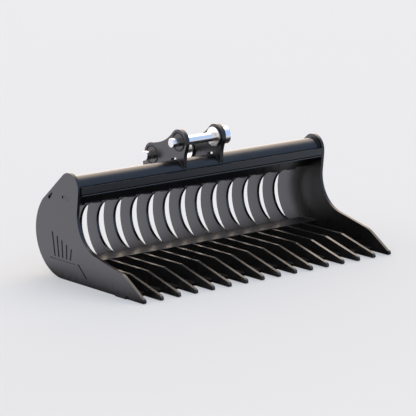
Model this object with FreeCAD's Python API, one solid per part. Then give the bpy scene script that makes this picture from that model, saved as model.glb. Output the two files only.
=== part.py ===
import FreeCAD, Part
import math
import os

# Skeleton (riddle) bucket. Millimetres; X runs across the width, +Y to the back, +Z up.
# The ground is Z = 0 and the origin is under the middle of the side profile.

# --- overall sizes ---
WIDTH = 1515.0          # over the outer faces of the two side plates
DEPTH = 826.0           # from the tine tips to the back of the heel arc

# --- plates ---
TINES = 14
SIDE_T = 15.0
TINE_T = 15.0
EAR_T = 20.0
REAR_T = 12.0
FLOOR_T = 12.0
BAR_T = 6.0
FLANGE_T = 8.0
HEEL_T = 10.0

# --- torque tube and the bars that tie the tines together ---
TUBE_D = 101.6
TUBE_WALL = 8.0
FRONT_BAR_H = 37.0
BAR_STAND = 22.0        # from the tube to the back of the front bar
LIP_OUT = 3.5           # how far the bar's foot stands out in front
LIP_T = 4.0
BAR_BEVEL = 4.5         # along the bar's low front edge
LIP_BEVEL = 3.0         # along the foot's top front edge
NECK_PROUD = 1.5        # tine necks in front of the flange between them
CROWN_NOTCH_R = 7.0     # relief in each ear over the top of the tube
HEEL_BAR_W = 110.0
TOE_BAR_W = 79.0
TOE_BAR_H = 12.0
TOE_BAR_PROUD = 8.0     # how far its ends stand out of the side plates

# --- hanger ---
EAR_OVER = 244.0        # over the outer faces of the two ears
LOBE_R = 60.0
BOSS_R = 43.0
BOSS_PROUD = 4.0        # inward of the ear
PIN_D = 45.0
PIN_OVERHANG = 46.0     # past the outer face of each ear
PIN_CHAMFER = 2.0
SEAL_GROOVE = 2.0       # width of the ring groove at each end of the bearing length
SEAL_DEEP = 0.6

# --- pin hardware ---
COLLAR_R = 44.0
SEAT_DEEP = 7.0         # flat seats of the bolt head and nut, below the collar's round
SPACER_R = 47.0
SPACER_T = 8.0
BOLT_D = 12.0
HEX_ACROSS = 18.0
HEAD_H = 7.5
NUT_H = 10.8
THREAD_OUT = 3.0

# --- named clearances ---
WELD_GAP = 0.4          # between plates that a weld joins
SLOT_GAP = 1.0          # round a tab in its slot
PIN_FIT = 0.075         # radial, pin in boss and collar
SPACER_FIT = 0.6        # radial, loose spacer on the pin
SIDE_PLAY = 0.3         # spacer to boss, collar to ear
BOLT_FIT = 0.5          # radial, cross bolt in its hole
NUT_FIT = 0.05          # radial, nut on the bolt
RING_GROOVE = 5.0       # bevel of the weld groove round a boss

S = DEPTH / 826.0
Y_MID = 393.0 * S
PITCH = (WIDTH - SIDE_T) / (TINES + 1)
X_SIDE = WIDTH / 2.0
X_IN = X_SIDE - SIDE_T
TINE_X = [k * PITCH - X_SIDE + SIDE_T / 2.0 for k in range(1, TINES + 1)]
TUBE_R = TUBE_D / 2.0
PIN_R = PIN_D / 2.0


def pt(y, z):
    """A point of the side profile, from its drawing position."""
    return FreeCAD.Vector(0.0, y * S - Y_MID, z * S)


TUBE_C = pt(540.0, 444.0)
FRONT_PIN = pt(523.7, 583.2)
REAR_PIN = pt(726.9, 490.3)

# the closing plate at the upper back lies along ALONG, and OUT points away from it
ALONG = FreeCAD.Vector(0.0, 0.7565, -0.6540)
OUT = FreeCAD.Vector(0.0, 0.6540, 0.7565)
REAR_RISE = 0.864 * TUBE_R
REAR_IN = TUBE_C.dot(OUT) + REAR_RISE
REAR_OUT = REAR_IN + REAR_T
REAR_TOP = TUBE_C.dot(ALONG) + math.sqrt((TUBE_R + WELD_GAP) ** 2 - REAR_RISE ** 2)
REAR_LOW = pt(747.0, 359.0).dot(ALONG) - 20.0 * S

# the box floor slopes up to the back and touches the tube from below
FLOOR_DIR = FreeCAD.Vector(0.0, math.cos(math.radians(6.4)), math.sin(math.radians(6.4)))
FLOOR_UP = FreeCAD.Vector(0.0, -FLOOR_DIR.z, FLOOR_DIR.y)
FLOOR_TOP = TUBE_C - FLOOR_UP * (TUBE_R + WELD_GAP)
NECK_TOP = FLOOR_TOP - FLOOR_UP * (FLOOR_T + WELD_GAP) + FLOOR_DIR * (14.5 * S)


def on_rear(along, out):
    """A profile point from its place along and out of the closing plate."""
    return ALONG * along + OUT * out


def polygon(points):
    return [("line", p) for p in points[1:]] + [("line", points[0])]


def profile_face(start, path):
    """A flat face in the YZ plane from a start point and line or arc steps."""
    edges = []
    here = start
    for step in path:
        end = step[-1]
        if step[0] == "line":
            edges.append(Part.makeLine(here, end))
        else:
            edges.append(Part.Arc(here, step[1], end).toShape())
        here = end
    return Part.Face(Part.Wire(edges))


def plate(start, path, x_low, thick):
    face = profile_face(start, path)
    face.translate(FreeCAD.Vector(x_low, 0.0, 0.0))
    return face.extrude(FreeCAD.Vector(thick, 0.0, 0.0))


def poly_plate(points, x_low, thick):
    return plate(points[0], polygon(points), x_low, thick)


def box(x0, x1, y0, y1, z0, z1):
    return Part.makeBox(x1 - x0, y1 - y0, z1 - z0, FreeCAD.Vector(x0, y0, z0))


def rod(x0, x1, centre, radius):
    """A cylinder along X."""
    base = FreeCAD.Vector(x0, centre.y, centre.z)
    return Part.makeCylinder(radius, x1 - x0, base, FreeCAD.Vector(1.0, 0.0, 0.0))


def chamfered_rod(x0, x1, centre, radius, size):
    axis = FreeCAD.Vector(1.0, 0.0, 0.0)
    left = Part.makeCone(radius - size, radius, size, FreeCAD.Vector(x0, centre.y, centre.z), axis)
    right = Part.makeCone(radius, radius - size, size,
                          FreeCAD.Vector(x1 - size, centre.y, centre.z), axis)
    return left.fuse([rod(x0 + size, x1 - size, centre, radius), right]).removeSplitter()


def hexagon(centre, across, height):
    """A hexagonal prism standing on centre."""
    reach = across / math.sqrt(3.0)
    corners = []
    for k in range(6):
        turn = math.radians(60.0 * k)
        corners.append(centre + FreeCAD.Vector(reach * math.cos(turn), reach * math.sin(turn), 0.0))
    ring = Part.makePolygon(corners + [corners[0]])
    return Part.Face(ring).extrude(FreeCAD.Vector(0.0, 0.0, height))


def outer_back():
    """Bottom, heel arc and back arc shared by side plates and tines, from tip to rear corner."""
    return [
        ("line", pt(603.0, 0.0)),
        ("arc", pt(743.0, 59.5), pt(806.0, 203.0)),
        ("arc", pt(793.5, 280.5), pt(747.0, 359.0)),
    ]


def tip():
    """Blunt front end, from the top of the slope down to the ground."""
    return [
        ("line", pt(-3.0, 24.0)),
        ("arc", pt(-15.5, 18.5), pt(-20.0, 9.0)),
        ("arc", pt(-17.5, 2.5), pt(-12.0, 0.0)),
    ]


def side_outline():
    nose = pt(542.0, 442.0)
    nose_r = 71.3 * S
    high = nose + OUT * nose_r
    crown = nose + FreeCAD.Vector(0.0, -0.5, 0.866) * nose_r
    front = nose + FreeCAD.Vector(0.0, -1.0, 0.0) * nose_r
    path = outer_back()
    path += [
        ("line", high),
        ("arc", crown, front),
        ("line", pt(470.7, 424.0)),
        ("line", pt(481.5, 330.0)),
        ("arc", pt(433.0, 201.5), pt(352.4, 153.8)),
        ("line", pt(150.0, 109.3)),
        ("arc", pt(131.0, 103.8), pt(114.0, 95.5)),
    ]
    path += tip()
    return pt(-12.0, 0.0), path


def tine_outline():
    floor_low = FLOOR_TOP - FLOOR_UP * (FLOOR_T + WELD_GAP)
    inner = REAR_IN - WELD_GAP
    reach = (inner - floor_low.dot(OUT)) / FLOOR_DIR.dot(OUT)
    top_rear = floor_low + FLOOR_DIR * reach
    step = REAR_LOW + WELD_GAP
    path = outer_back()
    path += [
        ("line", on_rear(step, pt(747.0, 359.0).dot(OUT))),
        ("line", on_rear(step, inner)),
        ("line", top_rear),
        ("line", NECK_TOP),
        ("line", pt(571.5, 345.5)),
        ("arc", pt(572.6, 342.3), pt(575.6, 340.4)),
        ("line", pt(615.0, 331.0)),
        ("arc", pt(696.3, 297.3), pt(730.0, 216.0)),
        ("arc", pt(690.2, 119.8), pt(594.0, 80.0)),
        ("line", pt(222.0, 80.0)),
        ("arc", pt(212.5, 79.0), pt(203.5, 76.4)),
    ]
    path += tip()
    return pt(-12.0, 0.0), path


def biggest(shape):
    return max(shape.Solids, key=lambda s: s.Volume)


def save(shape, node):
    shape.exportStep("parts/" + node + ".step")


os.makedirs("parts", exist_ok=True)

# --- bars across the bucket ---
toe_y0 = pt(106.0, 0.0).y
toe_y1 = toe_y0 + TOE_BAR_W
heel_y0 = pt(510.0, 0.0).y
heel_y1 = heel_y0 + HEEL_BAR_W
heel_top = pt(0.0, 80.0).z
toe_bar = box(-X_SIDE - TOE_BAR_PROUD, X_SIDE + TOE_BAR_PROUD, toe_y0, toe_y1, 0.0, TOE_BAR_H)
heel_bar = box(-X_IN + WELD_GAP, X_IN - WELD_GAP, heel_y0, heel_y1, heel_top - HEEL_T, heel_top)
toe_notch = box(-WIDTH, WIDTH, toe_y0 - SLOT_GAP, toe_y1 + SLOT_GAP, -50.0, TOE_BAR_H + WELD_GAP)
heel_notch = box(-WIDTH, WIDTH, heel_y0 - WELD_GAP, heel_y1 + WELD_GAP,
                 heel_top - HEEL_T - WELD_GAP, heel_top + 60.0)
save(toe_bar, "toe_bar")
save(heel_bar, "heel_bar")


def profile_bar(corners, half):
    return poly_plate([FreeCAD.Vector(0.0, y, z) for y, z in corners], -half, 2.0 * half)


bar_back = TUBE_C.y - TUBE_R - BAR_STAND
bar_front = bar_back - BAR_T
bar_low = pt(0.0, 417.1).z
bar_x = X_IN - WELD_GAP
foot_back = TUBE_C.y - math.sqrt((TUBE_R + WELD_GAP) ** 2 - (TUBE_C.z - bar_low) ** 2)
lip_front = bar_front - LIP_OUT
front_bar = profile_bar([(bar_front, bar_low + FRONT_BAR_H), (bar_back, bar_low + FRONT_BAR_H),
                         (bar_back, bar_low), (bar_front + BAR_BEVEL, bar_low),
                         (bar_front, bar_low + BAR_BEVEL)], bar_x)
foot = profile_bar([(foot_back, bar_low), (foot_back, bar_low - LIP_T), (lip_front, bar_low - LIP_T),
                    (lip_front, bar_low - LIP_BEVEL), (lip_front + LIP_BEVEL, bar_low)], bar_x)
front_bar = front_bar.fuse(foot).removeSplitter()
save(front_bar, "front_bar")

# --- torque tube ---
tube_x = X_IN - WELD_GAP
tube = rod(-tube_x, tube_x, TUBE_C, TUBE_R)
tube = tube.cut(rod(-tube_x - 1.0, tube_x + 1.0, TUBE_C, TUBE_R - TUBE_WALL))
save(tube, "torque_tube")


# --- closing plate and box floor, each with a tab at both ends ---
def rear_block(along0, along1, out0, out1, x0, x1):
    corners = [on_rear(along0, out0), on_rear(along1, out0), on_rear(along1, out1), on_rear(along0, out1)]
    return poly_plate(corners, x0, x1 - x0)


def floor_block(run0, run1, up0, up1, x0, x1):
    def corner(run, up):
        return FLOOR_TOP + FLOOR_DIR * run + FLOOR_UP * up
    corners = [corner(run0, up0), corner(run1, up0), corner(run1, up1), corner(run0, up1)]
    return poly_plate(corners, x0, x1 - x0)


rear_tab0 = REAR_TOP + 106.0 * S
rear_tab1 = rear_tab0 + 38.0 * S
rear_tab_x = X_IN + SIDE_T * 0.45
rear_plate = rear_block(REAR_TOP, REAR_LOW, REAR_IN, REAR_OUT, -X_IN + WELD_GAP, X_IN - WELD_GAP)
rear_plate = rear_plate.fuse(rear_block(rear_tab0, rear_tab1, REAR_IN, REAR_OUT, -rear_tab_x, rear_tab_x))
rear_plate = rear_plate.removeSplitter()
rear_slot = rear_block(rear_tab0 - SLOT_GAP, rear_tab1 + SLOT_GAP, REAR_IN - SLOT_GAP,
                       REAR_OUT + SLOT_GAP, -WIDTH, WIDTH)
save(rear_plate, "rear_plate")

floor_end = (REAR_IN - WELD_GAP - FLOOR_TOP.dot(OUT)) / FLOOR_DIR.dot(OUT) - 0.5
floor_tab0 = -2.0 * S
floor_tab1 = floor_tab0 + 42.0 * S
floor_tabs = [floor_block(floor_tab0, floor_tab1, -FLOOR_T, 0.0, x0, x0 + SIDE_T + 6.0)
              for x0 in (-X_SIDE, X_IN - 6.0)]
floor_plate = floor_block(14.0 * S, floor_end, -FLOOR_T, 0.0, -X_IN + WELD_GAP, X_IN - WELD_GAP)
neck_low = pt(570.6, 348.9)
neck_run = (neck_low - NECK_TOP).normalize()
neck_back = FreeCAD.Vector(0.0, -neck_run.z, neck_run.y)
flange_top = NECK_TOP - neck_run * FLOOR_T * 0.6 + neck_back * NECK_PROUD
flange_low = neck_low + neck_back * NECK_PROUD
flange = poly_plate([flange_top, flange_low, flange_low + neck_back * FLANGE_T,
                     flange_top + neck_back * FLANGE_T], -X_IN + WELD_GAP, 2.0 * (X_IN - WELD_GAP))
notch_half = TINE_T / 2.0 + WELD_GAP
tine_notches = [floor_block(-20.0 * S, 60.0 * S, -80.0 * S, -FLOOR_T, x - notch_half, x + notch_half)
                for x in TINE_X]
floor_plate = floor_plate.fuse(floor_tabs + [flange.cut(tine_notches)]).removeSplitter()
floor_slot = floor_block(floor_tab0 - SLOT_GAP, floor_tab1 + 9.0 * SLOT_GAP, -FLOOR_T - SLOT_GAP,
                         SLOT_GAP, -WIDTH, WIDTH)
save(floor_plate, "floor_plate")


# --- side plates, with a cut pattern of slanted bars on the outer face ---
def pattern(x0, x1):
    bars = []
    for k in range(5):
        low = pt(648.0 - 30.0 * k, 100.0)
        high = pt(668.0 - 30.0 * k - 7.0 * k, 214.0 - 15.0 * k)
        wide = FreeCAD.Vector(0.0, 11.0 * S, 0.0)
        bars.append(poly_plate([low, low + wide, high + wide, high], x0, x1 - x0))
    low = pt(400.0, 34.0)
    high = pt(466.0, 92.0)
    wide = FreeCAD.Vector(0.0, 15.0 * S, 0.0)
    bars.append(poly_plate([low, low + wide, high + wide, high], x0, x1 - x0))
    line0 = pt(497.0, 86.0)
    line1 = pt(690.0, 86.0)
    rise = FreeCAD.Vector(0.0, 0.0, 6.0 * S)
    bars.append(poly_plate([line0, line1, line1 + rise, line0 + rise], x0, x1 - x0))
    return bars


PATTERN_DEEP = 3.0
start, path = side_outline()
for node, x_low, face_x in (("side_plate_left", -X_SIDE, -X_SIDE), ("side_plate_right", X_IN, X_SIDE)):
    side = plate(start, path, x_low, SIDE_T)
    side = side.cut([rear_slot, floor_slot, toe_notch])
    side = side.cut(pattern(face_x - PATTERN_DEEP, face_x + PATTERN_DEEP))
    save(biggest(side), node)

# --- tines ---
start, path = tine_outline()
master = plate(start, path, -TINE_T / 2.0, TINE_T).cut([toe_notch, heel_notch])
master = biggest(master)
for k, x in enumerate(TINE_X, 1):
    tine = master.copy()
    tine.translate(FreeCAD.Vector(x, 0.0, 0.0))
    save(tine, "tine_%02d" % k)

# --- hanger ears with a weld groove round each boss ---
EAR_X = EAR_OVER / 2.0


def lobe_point(centre, degrees):
    turn = math.radians(degrees)
    return centre + FreeCAD.Vector(0.0, math.cos(turn), math.sin(turn)) * LOBE_R


def offset(point, dy, dz):
    return point + FreeCAD.Vector(0.0, dy, dz)


def ear_outline():
    leg = pt(510.0, 466.0)
    neck = lobe_point(FRONT_PIN, 200.0)
    heel = lobe_point(REAR_PIN, -44.0)
    foot = on_rear(pt(706.8, 374.1).dot(ALONG), REAR_OUT - REAR_T / 2.0)
    joint = on_rear(REAR_TOP + 2.0, REAR_IN + 1.5)
    path = [
        ("line", pt(486.0, 466.0)),
        ("line", offset(neck, 16.2, -57.7)),
        ("arc", offset(neck, 11.2, -26.7), neck),
        ("arc", lobe_point(FRONT_PIN, 118.0), lobe_point(FRONT_PIN, 42.0)),
        ("arc", pt(620.0, 582.0), pt(674.0, 560.5)),
        ("line", lobe_point(REAR_PIN, 100.0)),
        ("arc", lobe_point(REAR_PIN, 28.0), heel),
        ("arc", offset(heel, 7.9, -6.1), offset(heel, 25.9, 0.4)),
        ("line", offset(heel, 27.9, -2.6)),
        ("line", offset(heel, 27.9, -28.6)),
        ("line", foot),
        ("line", joint),
        ("line", TUBE_C),
        ("line", leg),
    ]
    return leg, path


def boss_cutter(x_out, inward, centre):
    """Boss hole of an ear, bevelled at the outer face."""
    hole = rod(-EAR_X - 1.0, EAR_X + 1.0, centre, BOSS_R + WELD_GAP)
    big = BOSS_R + WELD_GAP + RING_GROOVE
    axis = FreeCAD.Vector(inward, 0.0, 0.0)
    at = FreeCAD.Vector(x_out, centre.y, centre.z)
    return hole.fuse(Part.makeCone(big, BOSS_R + WELD_GAP, RING_GROOVE, at, axis))


def boss(x_out, inward, centre):
    """A turned ring: bevelled outside, flush with the ear, and proud on the inside."""
    axis = FreeCAD.Vector(inward, 0.0, 0.0)
    at = FreeCAD.Vector(x_out, centre.y, centre.z)
    nose = Part.makeCone(BOSS_R - RING_GROOVE, BOSS_R, RING_GROOVE, at, axis)
    body = Part.makeCylinder(BOSS_R, EAR_T + BOSS_PROUD - RING_GROOVE, at + axis * RING_GROOVE, axis)
    bore = rod(-EAR_X - 1.0, EAR_X + 1.0, centre, PIN_R + PIN_FIT)
    return nose.fuse(body).removeSplitter().cut(bore)


start, path = ear_outline()
tube_room = rod(-EAR_X - 1.0, EAR_X + 1.0, TUBE_C, TUBE_R + WELD_GAP)
rear_room = rear_block(REAR_TOP - WELD_GAP, REAR_LOW + 50.0, REAR_IN - 30.0, REAR_OUT + WELD_GAP,
                       -EAR_X - 1.0, EAR_X + 1.0)
notch_front = pt(547.0, 497.0)
notch_rear = pt(574.0, 489.5)
notch_up = (notch_rear - notch_front).cross(FreeCAD.Vector(-1.0, 0.0, 0.0)).normalize() * CROWN_NOTCH_R
crown_notch = [rod(-EAR_X - 1.0, EAR_X + 1.0, end, CROWN_NOTCH_R) for end in (notch_front, notch_rear)]
crown_notch.append(poly_plate([notch_front - notch_up, notch_rear - notch_up, notch_rear + notch_up,
                               notch_front + notch_up], -EAR_X - 1.0, EAR_OVER + 2.0))
for side_name, x_low, x_out, inward in (("left", -EAR_X, -EAR_X, 1.0),
                                        ("right", EAR_X - EAR_T, EAR_X, -1.0)):
    ear = plate(start, path, x_low, EAR_T)
    ear = ear.cut([tube_room, rear_room] + crown_notch)
    for where, centre in (("front", FRONT_PIN), ("rear", REAR_PIN)):
        ear = ear.cut(boss_cutter(x_out, inward, centre))
        save(boss(x_out, inward, centre), "boss_" + side_name + "_" + where)
    save(biggest(ear), "ear_" + side_name)

# --- the two pin sets: pin, spacer, collar, cross bolt and nut ---
pin_end = EAR_X + PIN_OVERHANG
collar_x0 = EAR_X + SIDE_PLAY
bolt_x = (collar_x0 + pin_end) / 2.0
spacer_x1 = EAR_X - EAR_T - BOSS_PROUD - SIDE_PLAY
bearing_x = spacer_x1 - SPACER_T - 2.0 * SEAL_GROOVE
seat_z = COLLAR_R - SEAT_DEEP
for where, centre in (("front", FRONT_PIN), ("rear", REAR_PIN)):
    up = FreeCAD.Vector(0.0, 0.0, 1.0)
    cross = []
    for x in (-bolt_x, bolt_x):
        foot_at = FreeCAD.Vector(x, centre.y, centre.z - 2.0 * COLLAR_R)
        cross.append(Part.makeCylinder(BOLT_D / 2.0 + BOLT_FIT, 4.0 * COLLAR_R, foot_at, up))
    pin = chamfered_rod(-pin_end, pin_end, centre, PIN_R, PIN_CHAMFER).cut(cross)
    for x in (-bearing_x - SEAL_GROOVE, bearing_x):
        ring = rod(x, x + SEAL_GROOVE, centre, PIN_R + 5.0).cut(rod(x, x + SEAL_GROOVE, centre, PIN_R - SEAL_DEEP))
        pin = pin.cut(ring)
    save(pin, where + "_pin")

    collar = chamfered_rod(collar_x0, pin_end, centre, COLLAR_R, 2.0)
    collar = collar.cut(rod(collar_x0 - 1.0, pin_end + 1.0, centre, PIN_R + PIN_FIT))
    seat_r = HEX_ACROSS * 0.85
    for sign in (1.0, -1.0):
        at = FreeCAD.Vector(bolt_x, centre.y, centre.z + sign * seat_z)
        collar = collar.cut(Part.makeCylinder(seat_r, 20.0, at, up * sign))
    collar = collar.cut(cross[1])
    save(collar, where + "_collar")

    spacer = rod(spacer_x1 - SPACER_T, spacer_x1, centre, SPACER_R)
    spacer = spacer.cut(rod(spacer_x1 - SPACER_T - 1.0, spacer_x1 + 1.0, centre, PIN_R + SPACER_FIT))
    save(spacer, where + "_spacer")

    head_at = FreeCAD.Vector(bolt_x, centre.y, centre.z + seat_z)
    shank = 2.0 * seat_z + NUT_H + THREAD_OUT
    bolt = hexagon(head_at, HEX_ACROSS, HEAD_H)
    bolt = bolt.fuse(Part.makeCylinder(BOLT_D / 2.0, shank, head_at - up * shank, up))
    save(bolt, where + "_bolt")

    nut_at = FreeCAD.Vector(bolt_x, centre.y, centre.z - seat_z - NUT_H)
    nut = hexagon(nut_at, HEX_ACROSS, NUT_H)
    nut = nut.cut(Part.makeCylinder(BOLT_D / 2.0 + NUT_FIT, NUT_H + 2.0, nut_at - up, up))
    save(nut, where + "_nut")
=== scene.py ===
import math

import bpy
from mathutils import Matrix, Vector


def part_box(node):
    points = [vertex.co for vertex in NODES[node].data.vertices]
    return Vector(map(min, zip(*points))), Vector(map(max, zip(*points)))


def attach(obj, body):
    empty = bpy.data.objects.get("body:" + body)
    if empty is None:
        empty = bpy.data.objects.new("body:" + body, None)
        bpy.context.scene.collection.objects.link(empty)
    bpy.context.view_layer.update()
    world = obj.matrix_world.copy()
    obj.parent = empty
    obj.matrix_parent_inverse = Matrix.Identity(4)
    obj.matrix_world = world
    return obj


# Skeleton bucket: 14 tines between two side plates, a torque tube box and a two-pin hanger.
# Metres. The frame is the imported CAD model; everything here is a finish, a weld or the studio.

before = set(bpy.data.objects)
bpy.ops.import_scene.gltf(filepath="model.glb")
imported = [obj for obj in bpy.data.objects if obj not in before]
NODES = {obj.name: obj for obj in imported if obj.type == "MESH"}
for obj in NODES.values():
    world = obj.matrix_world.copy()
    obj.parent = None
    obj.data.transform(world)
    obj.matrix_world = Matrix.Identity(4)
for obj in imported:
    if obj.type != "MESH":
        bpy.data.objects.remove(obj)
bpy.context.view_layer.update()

TINES = [n for n in sorted(NODES) if n.startswith("tine_")]
PINS = ("front", "rear")


# ---------------------------------------------------------------- shader expressions
class Val:
    """A socket of a material's tree. Arithmetic on it adds the nodes."""

    def __init__(self, mat, socket):
        self.mat = mat
        self.socket = socket

    def _do(self, op, a, b=None, c=None):
        return self.mat.node("ShaderNodeMath", {"operation": op}, {0: a, 1: b, 2: c})

    def __add__(self, other):
        return self._do("ADD", self, other)

    def __sub__(self, other):
        return self._do("SUBTRACT", self, other)

    def __rsub__(self, other):
        return self._do("SUBTRACT", other, self)

    def __mul__(self, other):
        return self._do("MULTIPLY", self, other)

    def __pow__(self, other):
        return self._do("POWER", self, other)

    __radd__ = __add__

    def size(self):
        return self._do("ABSOLUTE", self)

    def at_least(self, other):
        return self._do("MAXIMUM", self, other)

    def at_most(self, other):
        return self._do("MINIMUM", self, other)

    def step(self, low, high):
        """0 below low, 1 above high, smooth between."""
        return self.mat.node("ShaderNodeMapRange", {"interpolation_type": "SMOOTHSTEP"},
                             {"Value": self, "From Min": low, "From Max": high})


class Graph:
    """A node tree that nodes are added to by type, settings and inputs."""

    def __init__(self, tree):
        self.tree = tree

    def node(self, kind, settings=None, inputs=None, out=0):
        made = self.tree.nodes.new(kind)
        for key, value in (settings or {}).items():
            setattr(made, key, value)
        for key, value in (inputs or {}).items():
            if isinstance(value, Val):
                self.tree.links.new(value.socket, made.inputs[key])
            elif value is not None:
                made.inputs[key].default_value = value
        return Val(self, made.outputs[out])

    def mix(self, amount, a, b):
        return self.node("ShaderNodeMix", {"data_type": "RGBA"}, {0: amount, 6: a, 7: b}, out=2)


class Finish(Graph):
    """One material and its Principled shader."""

    def __init__(self, name, **constants):
        self.data = bpy.data.materials.new(name)
        self.data.use_nodes = True
        super().__init__(self.data.node_tree)
        self.shader = self.tree.nodes["Principled BSDF"]
        for key, value in constants.items():
            self.shader.inputs[key.replace("_", " ")].default_value = value
        self.place = self.node("ShaderNodeTexCoord", out="Object")
        self.x, self.y, self.z = (self.node("ShaderNodeSeparateXYZ", {}, {0: self.place}, out=axis)
                                  for axis in "XYZ")

    def stretched(self, sx, sy, sz):
        return self.node("ShaderNodeVectorMath", {"operation": "MULTIPLY"},
                         {0: self.place, 1: (sx, sy, sz)})

    def noise(self, scale, detail=2.0, rough=0.5, at=None, kind="FBM"):
        return self.node("ShaderNodeTexNoise", {"noise_type": kind},
                         {"Vector": at or self.place, "Scale": scale, "Detail": detail,
                          "Roughness": rough})

    def bump(self, height, strength, distance, over=None):
        return self.node("ShaderNodeBump", {}, {"Height": height, "Strength": strength,
                                                "Distance": distance, "Normal": over})

    def set(self, **inputs):
        for key, value in inputs.items():
            self.tree.links.new(value.socket, self.shader.inputs[key.replace("_", " ")])
        return self.data


def rgb(r, g, b):
    return (r, g, b, 1.0)


# ---------------------------------------------------------------- finishes
PIN_END = -0.1670       # just inside the left end faces of the pins
TIP_END = -0.412        # where the tines' tips start


def powder_coat(name, rub=0.0, tint=1.0):
    """Black semi-gloss powder coat: orange peel, faint dust low down and rubbed tips."""
    m = Finish(name, IOR=1.54)
    cloud = m.noise(5.0, 4.0, 0.55)
    peel = m.noise(420.0, 2.0, 0.45)
    grain = m.noise(2600.0, 1.0)
    specks = m.noise(150.0, 1.0).step(0.70, 0.78)
    low = 1.0 - m.z.step(0.004, 0.09)
    patches = m.noise(38.0, 5.0, 0.65).step(0.46, 0.74)
    dust = (patches * low * 0.55 + specks * 0.10 + cloud * 0.05).at_most(1.0)
    tip = (1.0 - m.y.step(TIP_END, TIP_END + 0.067)) * m.noise(90.0, 4.0, 0.7).step(0.40, 0.62) * rub
    body = m.mix(cloud, rgb(0.0045 * tint, 0.0046 * tint, 0.0050 * tint),
                 rgb(0.0070 * tint, 0.0070 * tint, 0.0074 * tint))
    worn = m.mix(dust * 0.5, body, rgb(0.060, 0.056, 0.052))
    colour = m.mix(tip * 0.45, worn, rgb(0.085, 0.080, 0.075))
    scratch = m.noise(14.0, 3.0, 0.6, at=m.stretched(60.0, 1.0, 6.0)).step(0.69, 0.71)
    rough = 0.21 + cloud * 0.10 + dust * 0.22 + tip * 0.15 + scratch * 0.10 + grain * 0.04
    fine = m.bump(peel * 0.8 + grain * 0.2, 0.22, 0.0004)
    return m.set(Base_Color=colour, Roughness=rough, Normal=m.bump(scratch, 0.10, 0.0002, over=fine))


def turned_zinc(name, axis_ring=True):
    """Bright zinc plate over turned steel: fine lathe rings, clouding, a few dull spots and sawn ends."""
    m = Finish(name, Metallic=1.0)
    if axis_ring:
        lines = m.noise(1.0, 3.0, 0.7, at=m.stretched(2600.0, 26.0, 26.0))
    else:
        lines = m.noise(900.0, 2.0)
    cloud = m.noise(26.0, 4.0, 0.6)
    spots = m.noise(95.0, 3.0, 0.6).step(0.63, 0.74)
    colour = m.mix(cloud, rgb(0.87, 0.84, 0.82), rgb(0.94, 0.92, 0.90))
    colour = m.mix(spots * 0.35, colour, rgb(0.55, 0.56, 0.58))
    sawn = 1.0 - m.x.step(PIN_END - 0.0006, PIN_END)
    colour = m.mix(sawn, colour, rgb(0.50, 0.50, 0.49))
    rough = 0.16 + cloud * 0.10 + spots * 0.18 + lines * 0.06
    return m.set(Base_Color=colour, Roughness=rough, Normal=m.bump(lines, 0.10, 0.00008))


def plated_bolt(name):
    """Duller zinc plate of bolts and nuts, with fine pits."""
    m = Finish(name, Metallic=1.0)
    cloud = m.noise(160.0, 4.0, 0.6)
    pits = m.noise(700.0, 2.0).step(0.60, 0.72)
    colour = m.mix(cloud, rgb(0.62, 0.63, 0.66), rgb(0.80, 0.80, 0.80))
    rough = 0.26 + cloud * 0.16 + pits * 0.15
    return m.set(Base_Color=colour, Roughness=rough, Normal=m.bump(pits, 0.15, 0.0001))


PAINT = powder_coat("powder_coat_black")
TINE_PAINT = powder_coat("powder_coat_black_tines", rub=1.0)
WELD_PAINT = powder_coat("powder_coat_black_welds", tint=1.15)
ZINC = turned_zinc("zinc_turned")
DISC_ZINC = turned_zinc("zinc_disc", axis_ring=False)
BOLT_ZINC = plated_bolt("zinc_bolt")


def dress(node, material):
    thing = NODES[node]
    thing.data.materials.clear()
    thing.data.materials.append(material)


for node in NODES:
    if node.startswith("tine_") or node == "toe_bar":
        dress(node, TINE_PAINT)
    elif node.endswith(("_bolt", "_nut")):
        dress(node, BOLT_ZINC)
    elif node.endswith("_spacer"):
        dress(node, DISC_ZINC)
    elif node.endswith(("_pin", "_collar")):
        dress(node, ZINC)
    else:
        dress(node, PAINT)


# ---------------------------------------------------------------- welds
RIPPLE_OVERLAP = 1.9    # length of a ripple, in pitches
RIPPLE_LEAN = 0.30      # radians
OFF = 0.0006            # from a plate's face to the middle of its bead
SADDLE_OFF = 0.001      # the same, where an ear sits on the tube or on the rear plate
EAR_ARCS = ((101.0, 162.0, 24), (62.0, 43.0, 8))    # degrees from and to, and steps
EAR_SEAM = 0.128        # length of an ear's weld down the rear plate
GROOVE_DEEP = 0.0048    # of the weld groove round a boss
REAR_PLATE_T = 0.012
REAR_SEAT = 0.864       # from the tube's axis to the rear plate's inner face, in tube radii
TINE_HEEL = 0.075       # length of a tine's weld on the rear plate


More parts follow.
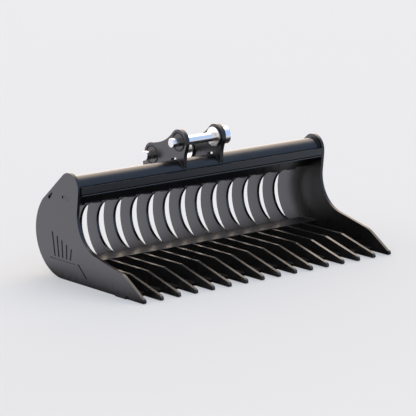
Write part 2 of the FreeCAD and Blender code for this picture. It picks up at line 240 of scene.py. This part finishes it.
def weld_tree():
    """A bead of overlapping ripples along every edge of the mesh given, leaning along its run."""
    tree = bpy.data.node_groups.new("weld_bead", "GeometryNodeTree")
    face = tree.interface
    face.new_socket("Path", in_out="INPUT", socket_type="NodeSocketGeometry")
    values = (("Ripple pitch", "Float", 0.0032), ("Bead width", "Float", 0.007),
              ("Bead height", "Float", 0.0032), ("Unevenness", "Float", 0.10),
              ("Seed", "Int", 7), ("Finish", "Material", None))
    for name, kind, value in values:
        socket = face.new_socket(name, in_out="INPUT", socket_type="NodeSocket" + kind)
        if value is not None:
            socket.default_value = value
    face.new_socket("Bead", in_out="OUTPUT", socket_type="NodeSocketGeometry")
    g = Graph(tree)
    given = tree.nodes.new("NodeGroupInput")
    take = {name: Val(g, given.outputs[name]) for name in ["Path"] + [row[0] for row in values]}
    line = g.node("GeometryNodeMeshToCurve", {}, {"Mesh": take["Path"]})
    beads = g.node("GeometryNodeResampleCurve", {"mode": "LENGTH"},
                   {"Curve": line, "Length": take["Ripple pitch"]})
    run = g.node("GeometryNodeInputTangent")
    out = g.node("GeometryNodeInputNamedAttribute", {"data_type": "FLOAT_VECTOR"}, {"Name": "out"})
    turn = g.node("FunctionNodeAxesToRotation", {"primary_axis": "Z", "secondary_axis": "X"},
                  {0: out, 1: run})
    low = 1.0 - take["Unevenness"]
    high = 1.0 + take["Unevenness"]
    uneven = g.node("FunctionNodeRandomValue", {"data_type": "FLOAT"},
                    {2: low, 3: high, "Seed": take["Seed"]}, out=1)
    ripple = g.node("GeometryNodeMeshUVSphere", {}, {"Segments": 8, "Rings": 5, "Radius": 0.5})
    size = g.node("ShaderNodeCombineXYZ", {}, {0: take["Ripple pitch"] * RIPPLE_OVERLAP,
                                               1: take["Bead width"], 2: take["Bead height"] * 2.0})
    lean = g.node("ShaderNodeCombineXYZ", {}, {1: RIPPLE_LEAN})
    shaped = g.node("GeometryNodeTransform", {}, {"Geometry": ripple, "Scale": size, "Rotation": lean})
    smooth = g.node("GeometryNodeSetShadeSmooth", {}, {0: shaped})
    placed = g.node("GeometryNodeInstanceOnPoints", {},
                    {"Points": beads, "Instance": smooth, "Rotation": turn, "Scale": uneven})
    real = g.node("GeometryNodeRealizeInstances", {}, {0: placed})
    done = g.node("GeometryNodeSetMaterial", {}, {"Geometry": real, "Material": take["Finish"]})
    tree.links.new(done.socket, tree.nodes.new("NodeGroupOutput").inputs["Bead"])
    return tree


WELD_TREE = weld_tree()


def weld(name, body, runs, **sizes):
    """Beads along runs, each a list of points with the direction that the bead faces."""
    points, edges, facing = [], [], []
    for run, out in runs:
        first = len(points)
        points += [tuple(p) for p in run]
        facing += [tuple(o) for o in (out if isinstance(out, list) else [out] * len(run))]
        edges += [(first + k, first + k + 1) for k in range(len(run) - 1)]
    mesh = bpy.data.meshes.new(name)
    mesh.from_pydata(points, edges, [])
    way = mesh.attributes.new("out", "FLOAT_VECTOR", "POINT")
    way.data.foreach_set("vector", [c for o in facing for c in Vector(o).normalized()])
    line = bpy.data.objects.new(name + "_line", mesh)
    bpy.context.scene.collection.objects.link(line)
    beads = line.modifiers.new("bead", "NODES")
    beads.node_group = WELD_TREE
    sockets = {i.name: i.identifier for i in WELD_TREE.interface.items_tree if i.in_out == "INPUT"}
    for key, value in {"Finish": WELD_PAINT, **sizes}.items():
        beads[sockets[key.replace("_", " ")]] = value
    bpy.context.view_layer.update()
    seen = line.evaluated_get(bpy.context.evaluated_depsgraph_get())
    piece = bpy.data.objects.new(name, bpy.data.meshes.new_from_object(seen))
    bpy.data.objects.remove(line)
    bpy.context.scene.collection.objects.link(piece)
    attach(piece, body)
    return piece


def low_high(node):
    return (Vector(c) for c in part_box(node))


def ring(x, centre, radius, start=0.0, stop=360.0, lean=0.0, count=48):
    """An arc about an axis along X with the way out of the joint at each point; lean tips it along X."""
    points, facing = [], []
    for k in range(count + 1):
        turn = math.radians(start + (stop - start) * k / count)
        out = Vector((0.0, math.cos(turn), math.sin(turn)))
        points.append(Vector((x, centre[0] + radius * out.y, centre[1] + radius * out.z)))
        facing.append(Vector((lean, out.y, out.z)))
    return points, facing


tube_low, tube_high = low_high("torque_tube")
TUBE_C = ((tube_low.y + tube_high.y) / 2, (tube_low.z + tube_high.z) / 2)
TUBE_R = (tube_high.z - tube_low.z) / 2
END_X = tube_high.x
heel_low, heel_high = low_high("heel_bar")
toe_low, toe_high = low_high("toe_bar")
REAR_DOWN = Vector((0.0, 0.7565, -0.6540))
REAR_OUT = Vector((0.0, 0.6540, 0.7565))


def plate_point(where):
    """The top or low edge of the rear plate's outer face, at x = 0."""
    rear_low, _ = low_high("rear_plate")
    centre = Vector((0.0, TUBE_C[0], TUBE_C[1]))
    out = centre.dot(REAR_OUT) + REAR_SEAT * TUBE_R + REAR_PLATE_T
    along = centre.dot(REAR_DOWN) + math.sqrt(TUBE_R ** 2 - (REAR_SEAT * TUBE_R) ** 2)
    if where == "low":
        along = (rear_low.z - out * REAR_OUT.z) / REAR_DOWN.z
    return REAR_DOWN * along + REAR_OUT * out


def hanger_welds():
    """Both faces of each ear on the tube and the rear plate, and both ends of each boss."""
    runs = []
    for side in ("left", "right"):
        ear_low, ear_high = low_high("ear_" + side)
        for x, lean in ((ear_low.x, -1.0), (ear_high.x, 1.0)):
            face_x = x + lean * SADDLE_OFF
            for begin, end, steps in EAR_ARCS:
                runs.append(ring(face_x, TUBE_C, TUBE_R + SADDLE_OFF, begin, end, lean, steps))
            start = Vector((face_x, 0.0, 0.0)) + plate_point("top")
            runs.append(([start, start + REAR_DOWN * EAR_SEAM], Vector((lean, 0.0, 0.0)) + REAR_OUT))
        x_out = ear_low.x if side == "left" else ear_high.x
        facing = -1.0 if side == "left" else 1.0
        for where in PINS:
            boss_low, boss_high = low_high("boss_" + side + "_" + where)
            centre = ((boss_low.y + boss_high.y) / 2, (boss_low.z + boss_high.z) / 2)
            radius = (boss_high.z - boss_low.z) / 2
            points, _ = ring(x_out - facing * GROOVE_DEEP, centre, radius + 0.0004)
            runs.append((points, Vector((facing, 0.0, 0.0))))
            x_in = ear_high.x if side == "left" else ear_low.x
            runs.append(ring(x_in - facing * 0.0004, centre, radius + 0.0008, lean=-facing))
    weld("weld_hanger", "bucket", runs, Ripple_pitch=0.0034, Bead_width=0.0062,
         Bead_height=0.0026, Seed=3)


def box_welds():
    """Tube ends, the rear plate's edges and the bars' ends against the side plates."""
    runs = []
    top, low = plate_point("top"), plate_point("low")
    for sign in (-1.0, 1.0):
        x = sign * END_X - sign * OFF
        runs.append(ring(x, TUBE_C, TUBE_R + 0.0008, 30.0, 180.0, -sign))
        across = Vector((x, 0.0, 0.0))
        runs.append(([across + top + REAR_OUT * OFF, across + low + REAR_OUT * OFF],
                     Vector((-sign, 0.0, 0.0)) + REAR_OUT))
        for corner_low, corner_high in ((heel_low, heel_high), (toe_low, toe_high)):
            z = corner_high.z + OFF
            runs.append(([(x, corner_low.y + 0.004, z), (x, corner_high.y - 0.004, z)],
                         (-sign, 0.0, 1.0)))
    seam = top - REAR_OUT * 0.0005 - REAR_DOWN * 0.001
    runs.append(([Vector((-END_X + 0.006, 0, 0)) + seam, Vector((END_X - 0.006, 0, 0)) + seam],
                 REAR_OUT - REAR_DOWN * 0.25))
    weld("weld_box", "bucket", runs, Ripple_pitch=0.0042, Bead_width=0.0074,
         Bead_height=0.0032, Seed=11)


def tine_welds():
    """Both sides of every tine at the toe bar, the heel bar and the rear plate."""
    low = plate_point("low") - REAR_OUT * REAR_PLATE_T
    half = len(TINES) // 2
    for part, first in (("left", 0), ("right", half)):
        runs = []
        for node in TINES[first:first + half]:
            tine_low, tine_high = low_high(node)
            for x, out in ((tine_low.x, -1.0), (tine_high.x, 1.0)):
                z = toe_high.z + 0.0008
                x = x + out * OFF
                runs.append(([(x, toe_low.y + 0.006, z), (x, toe_high.y - 0.006, z)], (out, 0.0, 1.0)))
                z = heel_low.z - OFF
                runs.append(([(x, heel_low.y + 0.008, z), (x, heel_high.y - 0.008, z)], (out, 0.0, -1.0)))
                at = Vector((x, 0.0, 0.0)) + low
                runs.append(([at - REAR_DOWN * 0.006, at - REAR_DOWN * TINE_HEEL],
                             Vector((out, 0.0, 0.0)) - REAR_OUT))
            z = heel_high.z - 0.001
            for y, out in ((heel_low.y - OFF, -1.0), (heel_high.y + OFF, 1.0)):
                runs.append(([(tine_low.x + 0.002, y, z), (tine_high.x - 0.002, y, z)],
                             (0.0, out * 0.5, 1.0)))
        weld("weld_tines_" + part, "bucket", runs, Ripple_pitch=0.0040, Bead_width=0.0066,
             Bead_height=0.0030, Seed=23 + first)


hanger_welds()
box_welds()
tine_welds()

# ---------------------------------------------------------------- studio
SKY = bpy.data.worlds.new("studio_sky")
bpy.context.scene.world = SKY
SKY.use_nodes = True


def light_dome(world):
    """Pale surroundings: cool above, a warm bank at the right back, a white one low at the left back."""
    g = Graph(world.node_tree)
    way = g.node("ShaderNodeTexCoord", out="Generated")
    height = g.node("ShaderNodeSeparateXYZ", {}, {0: way}, out="Z")

    def bank(towards, edge, core):
        near = g.node("ShaderNodeVectorMath", {"operation": "DOT_PRODUCT"},
                      {0: way, 1: Vector(towards).normalized()}, out="Value")
        return near.step(edge, core)

    dome = g.mix(height.step(-0.12, 0.40), rgb(0.92, 0.92, 0.95), rgb(0.78, 0.78, 0.80))
    dome = g.mix(bank((0.66, -0.36, 0.66), 0.42, 0.78), dome, rgb(0.50, 0.69, 1.04))
    dome = g.mix(bank((0.70, 0.62, 0.34), 0.57, 0.85), dome, rgb(3.4, 2.9, 2.5))
    dome = g.mix(bank((-0.62, 0.76, -0.18), 0.30, 0.86), dome, rgb(1.72, 1.70, 1.88))
    back = world.node_tree.nodes["Background"]
    world.node_tree.links.new(dome.socket, back.inputs["Color"])


light_dome(SKY)

bpy.ops.mesh.primitive_circle_add(vertices=96, radius=70.0, fill_type="NGON",
                                  location=(0.0, 0.0, -0.0005))
floor = bpy.context.object
floor.name = "studio_floor"
board = Finish("floor_paper", Roughness=0.9, Specular_IOR_Level=0.1,
               Emission_Color=rgb(0.316, 0.316, 0.323), Emission_Strength=1.0)
mottle = board.noise(1.3, 3.0)
board.set(Base_Color=board.mix(mottle, rgb(0.372, 0.382, 0.376), rgb(0.378, 0.388, 0.382)))
floor.data.materials.append(board.data)
floor.visible_glossy = False


def shade_card():
    """The floor as the gloss of the paint sees it, with painted shade: a near-black card seen only in
    reflections, dark under and before the bucket.
    """
    bpy.ops.mesh.primitive_grid_add(x_subdivisions=1, y_subdivisions=1, size=8.0,
                                    location=(0.0, 0.0, -0.0004))
    card = bpy.context.object
    card.name = "studio_shade_card"
    m = Finish("shade_card", Roughness=1.0, Specular_IOR_Level=0.0)
    out_x = (m.x.size() - 0.70).at_least(0.0)
    out_y = (m.y.size() - 0.36).at_least(0.0)
    away = (out_x ** 2.0 + out_y ** 2.0) ** 0.5
    under = 1.0 - away.step(0.02, 0.34)
    before = (1.0 - m.y.step(-0.5, -0.3)) * (1.0 - m.x.step(0.75, 1.7)) * m.y.step(-2.1, -1.25)
    # Mask of painted shade on the reflected floor: full under the bucket, nearly full before it. The card
    # is near-black and opaque where the mask is full.
    painted_shade_cover = (under + before * 0.96).at_most(1.0)
    m.set(Base_Color=m.mix(painted_shade_cover, rgb(0.02, 0.02, 0.022), rgb(0.012, 0.012, 0.013)), Alpha=painted_shade_cover)
    card.data.materials.append(m.data)
    for kind in ("camera", "diffuse", "shadow", "transmission", "volume_scatter"):
        setattr(card, "visible_" + kind, False)
    return card


shade_card()

# ---------------------------------------------------------------- camera
TURN = math.radians(39.283)
DOWN = math.radians(12.571)
look = Vector((math.sin(TURN) * math.cos(DOWN), math.cos(TURN) * math.cos(DOWN), -math.sin(DOWN)))
lens = bpy.data.cameras.new("main_camera")
lens.sensor_width = 36.0
lens.lens = 243.26
lens.clip_end = 300.0
camera = bpy.data.objects.new("main_camera", lens)
bpy.context.scene.collection.objects.link(camera)
camera.location = (-8.29815, -10.08596, 3.17989)
camera.rotation_mode = "QUATERNION"
camera.rotation_quaternion = look.to_track_quat("-Z", "Y")
bpy.context.scene.camera = camera
bpy.context.scene.view_settings.view_transform = "Standard"
